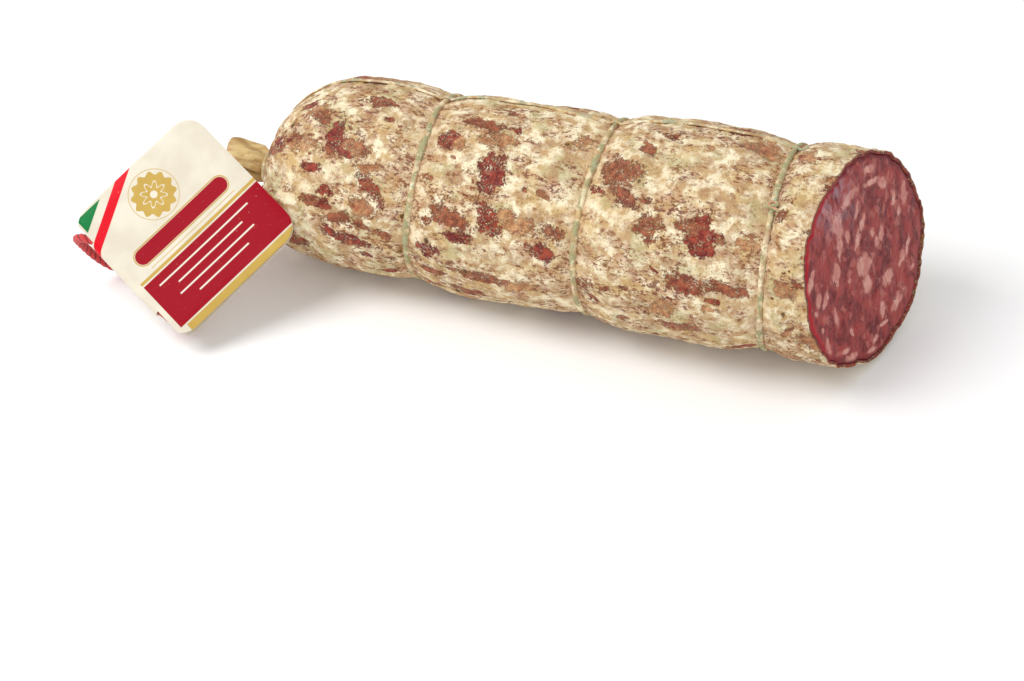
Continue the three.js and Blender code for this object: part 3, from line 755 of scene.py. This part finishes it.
# Lumps of fat on the cut, as seen from the camera: millimetres to the right and up from its middle, half
# length, half width, and degrees of slant to the right.
FAT_LUMPS = (
    (-0.5, -1.0, 3.6, 2.6, 20), (1.0, -6.7, 2.9, 1.8, 10), (-10.5, 9.0, 3.8, 1.9, -15),
    (-9.0, 3.3, 3.3, 1.1, -5), (-10.0, -4.3, 4.0, 1.2, -3), (-6.7, 17.1, 5.2, 1.1, 35),
    (1.0, 22.4, 3.8, 0.9, 60), (-0.2, 25.7, 2.4, 1.4, 70), (4.8, 22.6, 2.1, 1.7, 0),
    (12.6, 20.0, 3.6, 1.1, -8), (8.8, 18.6, 2.9, 0.8, -5), (11.0, 14.8, 1.9, 0.8, 0),
    (8.3, -4.4, 2.7, 1.6, 15), (11.9, -11.4, 4.0, 1.3, 25), (6.9, -13.8, 2.9, 1.2, -10),
    (12.9, 1.4, 2.9, 0.9, 20), (-6.7, 6.2, 2.1, 0.8, -10), (-3.1, 6.2, 3.3, 0.9, 5),
    (1.9, 8.1, 1.4, 0.8, 0), (5.2, 8.1, 2.9, 0.9, 10), (3.8, 5.7, 1.9, 0.9, 0),
    (-13.3, -11.4, 2.9, 0.8, 10), (-15.7, -11.4, 2.6, 0.8, 0), (-16.2, -15.7, 1.2, 0.9, 0),
    (-9.5, -16.2, 2.6, 1.0, -20), (-3.8, -20.5, 1.4, 0.6, -30), (-5.7, -26.2, 2.1, 0.8, 60),
    (-11.9, -24.8, 2.9, 0.9, -10), (-13.8, -20.5, 1.0, 0.6, 0), (-3.8, -28.6, 2.9, 1.7, 60),
    (2.9, -29.0, 2.9, 1.1, 75), (4.8, -22.4, 1.7, 0.7, 20), (3.8, -25.7, 2.1, 0.8, 60),
    (7.1, -18.1, 1.9, 0.6, 60), (-18.1, -6.2, 2.9, 0.8, 5), (-19.0, -9.0, 2.4, 0.8, 0),
    (-5.5, -6.2, 1.0, 0.6, 0), (17.1, -1.0, 1.4, 0.8, 45), (15.0, 5.2, 3.3, 0.6, 5),
    (14.5, 24.3, 1.9, 0.6, -20), (-1.7, 10.5, 2.9, 0.9, 10), (-3.8, 13.8, 2.9, 0.7, 10),
)


def fat_values(right, up):
    """How deep each point lies in the nearest lump of fat, one at its middle and zero at its edge."""
    depth = np.full_like(right, -1.0)
    for lump_right, lump_up, half, narrow, degrees in FAT_LUMPS:
        slant = math.radians(degrees)
        aside, above = right - lump_right, up - lump_up
        along = aside * math.sin(slant) + above * math.cos(slant)
        across = aside * math.cos(slant) - above * math.sin(slant)
        depth = np.maximum(depth, 1 - np.sqrt((along / half) ** 2 + (across / narrow) ** 2))
    return depth


def make_filling(outline):
    """The meat: a finely worked cut face, and plain sides hidden by the casing."""
    middle = np.array(CUT_MIDDLE)
    reach = outline - middle
    reach *= 1 - (CASING_WALL + 0.05 * MM) / np.linalg.norm(reach, axis=1)[:, None]
    shares = np.linspace(0.004, 1, FACE_RINGS)
    face = middle + shares[:, None, None] * reach[None]
    normal = np.array(Vector((1, -CUT_SLOPE_Y, -CUT_SLOPE_Z)).normalized())
    relief = 0.28 * bumps(face * np.array((1, 1, 0.55)), 3.2 * MM) + 0.14 * bumps(face, 1.2 * MM, 7.0)
    relief -= 0.45 * smooth(shares, 0.96, 1.0)[:, None]
    face = face + relief[..., None] * MM * normal
    sides = [middle + reach * share + np.array((-shift, 0, 0)) * MM
             for share, shift in ((0.998, 1.2), (0.98, 4), (0.9, 9))]
    angle = np.arctan2(reach[:, 2], reach[:, 1])
    for x in np.linspace(TIE_X[2] + 2 * MM, NECK_X + 6 * MM, SIDE_ROWS):
        place = np.full_like(angle, x)
        radius = body_radius(place, angle) - 3 * MM
        sides.append(round_points(place, angle, np.maximum(radius, NECK_RADIUS / 2)))
    whole = np.concatenate([face, sides])
    piece = rolled_grid("meat", whole)
    rim = np.concatenate([shares, np.ones(len(sides))])
    give_values(piece, "rim", np.repeat(rim[:, None], len(reach), axis=1))
    turned = (whole - middle) @ np.array(bpy.context.scene.camera.matrix_world.to_3x3())
    right, up = turned[..., 0] / MM, turned[..., 1] / MM
    wobble = 0.6 * bumps(whole, 2.6 * MM, 4.0)
    give_values(piece, "fat", fat_values(right + wobble, up + wobble))
    give_values(piece, "seen_right", right / CUT_REACH)
    give_values(piece, "seen_up", up / CUT_REACH)
    return finish_piece(piece, meat_finish(), "cured_meat", "filling")


# ---- Twine and tail ----

KNOT_ANGLE = math.radians(120)
STRAND_ANGLE = math.radians(72)
NECK_WINDING_TURNS = 2.6
TAIL_ROWS = 90
TAIL_SIDES = 120


def section_tube(name, line, half_width, half_height, sides, across=None, up=None, closed=False):
    """A tube with an oval section along a line. across is the direction of its width at every point."""
    if across is None:
        across, up = frames_along(line)
    turns = angles_round(sides)
    width = np.cos(turns)[None, :, None] * across[:, None, :] * np.reshape(half_width, (-1, 1, 1))
    height = np.sin(turns)[None, :, None] * up[:, None, :] * np.reshape(half_height, (-1, 1, 1))
    return rolled_grid(name, line[:, None, :] + width + height, closed_ends=not closed)


def outward(angle):
    """The direction away from the axis at each angle round the sausage."""
    return np.stack([0 * angle, np.cos(angle), np.sin(angle)], axis=1)


def make_girth_wrap(tie, material):
    """A flat ribbon of twine sunk in the casing all the way round."""
    angle = np.linspace(0, TURN, 361)
    x = TIE_X[tie] + tie_wander(tie, angle)
    line = round_points(x, angle, TIE_RADII[tie] - 0.95 * MM + 0.1 * MM * np.sin(9 * angle + tie))
    across = np.tile(np.array((1.0, 0, 0)), (len(angle), 1))
    half_width = (0.95 + 0.12 * np.sin(7 * angle + tie)) * MM
    half_width[-1] = half_width[0]
    piece = section_tube(f"girth_wrap_{tie + 1}", line, half_width, 0.75 * MM, 16, across, outward(angle),
                         closed=True)
    return finish_piece(piece, material, "twine", f"girth_tie_{tie + 1}")


def make_knot(material):
    """The knot on the last girth tie: one turn round the ribbon, drawn tight, with two short cut ends."""
    x = TIE_X[2] + float(tie_wander(2, np.array(KNOT_ANGLE)))
    y, z = axis_at(np.array([x]))
    out = Vector((0, math.cos(KNOT_ANGLE), math.sin(KNOT_ANGLE)))
    along = Vector((0, -math.sin(KNOT_ANGLE), math.cos(KNOT_ANGLE)))
    middle = Vector((x, float(y[0]), float(z[0]))) + out * (TIE_RADII[2] - 0.2 * MM)
    turns = [(-2.6, 1.4, 0.1), (-1.2, 0.9, 0.5), (0.4, 0.5, 1.0), (1.5, -0.4, 0.7), (1.1, -1.3, 0.2),
             (-0.3, -1.1, 0.5), (-1.4, -0.2, 0.9), (-0.9, 1.0, 0.6), (0.6, 1.3, 0.4), (1.9, 1.7, 0.6),
             (3.4, 2.4, 0.5)]
    places = [middle + (Vector((side, 0, 0)) + along * forward + out * lift) * 0.75 * MM
              for side, forward, lift in turns]
    line, _ = smooth_route(places, 0.25 * MM)
    piece = section_tube("knot", line, 0.62 * MM, 0.5 * MM, 10)
    return finish_piece(piece, material, "twine")


def make_lengthwise_strand(material):
    """The strand along the top, pressed flat into the mould and running over the girth ties."""
    x = np.linspace(NECK_X + 6 * MM, TIE_X[2] + 3.5 * MM, 420)
    angle = STRAND_ANGLE + 0.03 * np.sin(x / (11 * MM)) + 0.015 * np.sin(x / (3.7 * MM))
    radius = body_radius(x, angle)
    for tie in range(3):
        away = (x - TIE_X[tie] - tie_wander(tie, angle)) / (2.2 * MM)
        radius = np.maximum(radius, TIE_RADII[tie] - 0.35 * MM - 1.2 * MM * away ** 2)
    line = round_points(x, angle, radius + 0.25 * MM)
    up = outward(angle)
    across = np.cross(up, np.array((1.0, 0, 0)))
    half_width = (0.85 + 0.25 * np.sin(x / (2.9 * MM))) * MM
    piece = section_tube("lengthwise_strand", line, half_width, 0.4 * MM, 10, across, up)
    return finish_piece(piece, material, "twine", "lengthwise_tie")


def make_neck_winding(material):
    turns = np.linspace(0, TURN * NECK_WINDING_TURNS, 220)
    radius = NECK_RADIUS + 1.1 * MM
    x = NECK_X + 1.5 * MM * (turns / turns[-1] - 0.5) * 2
    line = np.stack([x, NECK_SIDE + radius * np.cos(turns), NECK_HEIGHT + radius * np.sin(turns)], axis=1)
    piece = section_tube("neck_winding", line, 0.8 * MM, 0.75 * MM, 12)
    return finish_piece(piece, material, "twine", "neck_tie")


def make_tail():
    """The gathered end of the gut beyond the neck: pleated, twisted a little and spread out flat."""
    s, t = np.meshgrid(np.linspace(0, 1, TAIL_ROWS), angles_round(TAIL_SIDES), indexing="ij")
    stations = (0, 0.12, 0.3, 0.55, 0.8, 1)
    width = np.interp(s, stations, (3.0, 4.8, 5.8, 6.2, 7.2, 7.6)) * MM
    thick = np.interp(s, stations, (3.0, 4.2, 4.4, 2.8, 1.5, 0.9)) * MM
    fold = np.cos(7 * t + 3.2 * s + 0.8 * np.sin(2 * t))
    swell = 1 + 0.16 * fold * np.sin(math.pi * np.clip(s * 1.1 + 0.12, 0, 1))
    curve = s ** 1.2
    x = NECK_X - NECK_LENGTH / 2 + 2 * MM - (TAIL_REACH - NECK_LENGTH / 2 + 1 * MM) * s
    x += 1.1 * MM * s * np.sign(np.sin(3 * t + 0.7)) * np.abs(np.sin(3 * t + 0.7)) ** 0.5
    y = NECK_SIDE + 3 * MM * curve + width * swell * np.cos(t)
    z = NECK_HEIGHT + 1 * MM * curve + thick * swell * np.sin(t) + 1.5 * MM * s * np.sin(y / (2.2 * MM))
    piece = rolled_grid("gathered_tail", np.stack([x, y, z], axis=-1))
    give_values(piece, "fold", 0.5 + 0.5 * fold)
    return finish_piece(piece, gut_finish(), "mould_casing")


# ---- Hanging loop ----

STRANDS = 3
STRAND_PITCH = 0.0075


def make_loop():
    """A cord of three strands twisted together, along the loop's route."""
    line, length = smooth_route(LOOP_ROUTE, 0.4 * MM)
    sides, ups = frames_along(line)
    turns = angles_round(30)
    travelled = np.linspace(0, length, len(line))
    phase = STRANDS * turns[None, :] - TURN * STRANDS * travelled[:, None] / STRAND_PITCH
    strand = np.abs(np.cos(phase / 2))
    radius = LOOP_DIAMETER / 2 * (0.84 + 0.16 * strand)
    points = (line[:, None, :] + sides[:, None, :] * (radius * np.cos(turns))[..., None]
              + ups[:, None, :] * (radius * np.sin(turns))[..., None])
    piece = rolled_grid("loop_cord", points)
    give_values(piece, "strand", strand)
    finish_piece(piece, cord_finish(), "loop_cord", "hanging_loop")
    return piece, line, length


# ---- Label ----

LEAF_LENGTH = LABEL_WIDTH - FOLD_RADIUS
FOLD_ARC = math.pi * FOLD_RADIUS
LIP = 0.0014


def corner_arc(middle, radius, start, end, steps=10):
    """Points on an arc about a middle in the flat card: out from the fold, and up along it."""
    angles = [math.radians(start + (end - start) * i / steps) for i in range(steps + 1)]
    return [(middle[0] + radius * math.cos(a), middle[1] + radius * math.sin(a)) for a in angles]


def front_place(out):
    """Distance along the unfolded card of a point of the front leaf, out from the fold's outer edge."""
    if out >= FOLD_RADIUS:
        return FOLD_ARC + out - FOLD_RADIUS
    return FOLD_RADIUS * (math.pi - math.asin(1 - out / FOLD_RADIUS))


def card_outline():
    """Outline of the unfolded card, from the front leaf's corner by the lower notch, all the way round."""
    r = LABEL_CORNER_RADIUS
    w, h = LABEL_WIDTH, LABEL_FOLD_LENGTH
    from_corner = math.degrees(math.acos((r - LIP) / r))
    front = corner_arc((r, r), r, 180 + from_corner, 270, 7) + corner_arc((w - r, r), r, 270, 360)
    front += corner_arc((w - r, h - r), r, 0, 90) + corner_arc((r, h - r), r, 90, 180 - from_corner, 7)
    outline = [(front_place(out), up) for out, up in front]
    n = FOLD_NOTCH_RADIUS
    low, high = FOLD_NOTCH_INSETS[0], h - FOLD_NOTCH_INSETS[1]
    opening = math.degrees(math.acos(FOLD_RADIUS / n))
    edge = math.degrees(math.acos((r - FOLD_RADIUS) / r))
    outline += [(front_place(LIP), high - n), (FOLD_ARC / 2, high - n)]
    back = corner_arc((0, high), n, -opening, opening) + corner_arc((r, h - r), r, 180 - edge, 90, 7)
    back += corner_arc((w - r, h - r), r, 90, 0) + corner_arc((w - r, r), r, 0, -90)
    back += corner_arc((r, r), r, 270, 180 + edge, 7) + corner_arc((0, low), n, -opening, opening)
    outline += [(FOLD_RADIUS - out, up) for out, up in back]
    outline += [(FOLD_ARC / 2, low + n), (front_place(LIP), low + n)]
    return outline


def fold_card(place, up):
    """Where a point of the unfolded card comes to lie: out from the fold, up along it, off the front face."""
    if place >= FOLD_ARC:
        out = FOLD_RADIUS + place - FOLD_ARC
        bow = 0.5 * MM * math.sin(math.pi * out / LABEL_WIDTH) * math.sin(math.pi * up / LABEL_FOLD_LENGTH)
        return Vector((out, up, -bow))
    if place >= 0:
        angle = place / FOLD_RADIUS
        return Vector((FOLD_RADIUS * (1 - math.sin(angle)), up, -FOLD_RADIUS * (1 + math.cos(angle))))
    share = -place / LEAF_LENGTH
    rise = 2 * FOLD_RADIUS - 2 * CARD_THICKNESS - LEAF_GAP
    return Vector((FOLD_RADIUS - place, up, -2 * FOLD_RADIUS + rise * share))


def make_label():
    """The folded card, cut to its outline flat, creased in fine steps and folded round the loop."""
    shape = bmesh.new()
    corners = [shape.verts.new((place, up, 0)) for place, up in card_outline()]
    edges = [shape.edges.new((corners[i - 1], corners[i])) for i in range(len(corners))]
    bmesh.ops.triangle_fill(shape, use_beauty=True, use_dissolve=False, edges=edges)
    creases = [(FOLD_ARC * i / 16, 0, 0) for i in range(17)]
    creases += [(FOLD_ARC + LEAF_LENGTH * i / 10, 0, 0) for i in range(1, 10)]
    creases += [(-LEAF_LENGTH * i / 10, 0, 0) for i in range(1, 10)]
    creases += [(0, LABEL_FOLD_LENGTH * i / 10, 0) for i in range(1, 10)]
    for place in creases:
        everything = shape.verts[:] + shape.edges[:] + shape.faces[:]
        direction = (0, 1, 0) if place[1] else (1, 0, 0)
        bmesh.ops.bisect_plane(shape, geom=everything, dist=1e-7, plane_co=place, plane_no=direction)
    uv = shape.loops.layers.uv.new("UVMap")
    for face in shape.faces:
        face.smooth = True
        for loop in face.loops:
            out = loop.vert.co.x - FOLD_ARC + FOLD_RADIUS
            loop[uv].uv = (out / CARD_UV_SCALE, loop.vert.co.y / CARD_UV_SCALE)
    for vert in shape.verts:
        vert.co = fold_card(vert.co.x, vert.co.y)
    bmesh.ops.recalc_face_normals(shape, faces=shape.faces)
    top = max(shape.faces, key=lambda face: face.calc_center_median().z)
    if top.normal.z < 0:
        bmesh.ops.reverse_faces(shape, faces=shape.faces)
    place = Matrix.Translation(LABEL_CORNER)
    for angle, axis in ((LABEL_TURN, "Z"), (LABEL_SLOPE, "X"), (LABEL_SPIN, "Z")):
        place = place @ Matrix.Rotation(angle, 4, axis)
    bmesh.ops.transform(shape, matrix=place, verts=shape.verts)
    piece = put_in_scene("card_label", shape)
    wall = piece.modifiers.new("thickness", "SOLIDIFY")
    wall.thickness = CARD_THICKNESS
    wall.offset = -1
    wall.use_even_offset = True
    soft = piece.modifiers.new("soft edge", "BEVEL")
    soft.width = 0.12 * MM
    soft.segments = 2
    soft.limit_method = "ANGLE"
    soft.angle_limit = math.radians(50)
    return finish_piece(piece, card_finish(), "label_card", "label")


# ---- Camera, floor and light ----

def add_camera():
    data = bpy.data.cameras.new("camera")
    data.sensor_width = 36
    data.lens = CAMERA_LENS
    data.clip_start = 0.01
    camera = bpy.data.objects.new("camera", data)
    back = Vector((math.sin(CAMERA_AZIMUTH) * math.cos(CAMERA_ELEVATION),
                   -math.cos(CAMERA_AZIMUTH) * math.cos(CAMERA_ELEVATION), math.sin(CAMERA_ELEVATION)))
    level = back.to_track_quat("Z", "Y").to_matrix().to_4x4()
    place = Matrix.Translation(CAMERA_AIM + back * CAMERA_DISTANCE)
    camera.matrix_world = place @ level @ Matrix.Rotation(CAMERA_ROLL, 4, "Z")
    bpy.context.scene.collection.objects.link(camera)
    bpy.context.scene.camera = camera


def add_floor():
    shape = bmesh.new()
    bmesh.ops.create_grid(shape, x_segments=4, y_segments=4, size=3)
    floor = put_in_scene("floor", shape)
    floor.location.z = -0.1 * MM
    floor.data.materials.append(Finish("floor").shade(Base_Color=tone(250, 250, 250), Roughness=0.9))


def add_lamp(name, place, size, power):
    data = bpy.data.lights.new(name, "AREA")
    data.shape = "DISK"
    data.size = size
    data.energy = power
    lamp = bpy.data.objects.new(name, data)
    lamp.location = place
    lamp.rotation_euler = Vector(place).to_track_quat("Z", "Y").to_euler()
    bpy.context.scene.collection.objects.link(lamp)


def add_light():
    world = bpy.data.worlds.new("soft light")
    world.use_nodes = True
    world.node_tree.nodes["Background"].inputs["Color"].default_value = (1, 1, 1, 1)
    world.node_tree.nodes["Background"].inputs["Strength"].default_value = 0.72
    bpy.context.scene.world = world
    add_lamp("key", (-0.55, -0.35, 0.9), 0.6, 7.4)
    add_lamp("fill", (0.8, -0.6, 0.5), 0.8, 1.4)
    bpy.context.scene.view_settings.view_transform = "Standard"


# ---- Assembly ----

add_camera()
loop, loop_line, loop_length = make_loop()
label = make_label()
add_floor()
add_light()
skin, skin_values = casing_surface()
make_casing(skin, skin_values)
make_filling(skin[-1])
twine = twine_finish("girth_twine", (172, 166, 124), (214, 148, 116), 0.04)
strand_twine = twine_finish("strand_twine", (178, 180, 146), (196, 120, 92), 0.1)
for tie_number in range(3):
    make_girth_wrap(tie_number, twine)
make_knot(twine)
make_lengthwise_strand(strand_twine)
make_neck_winding(twine)
make_tail()
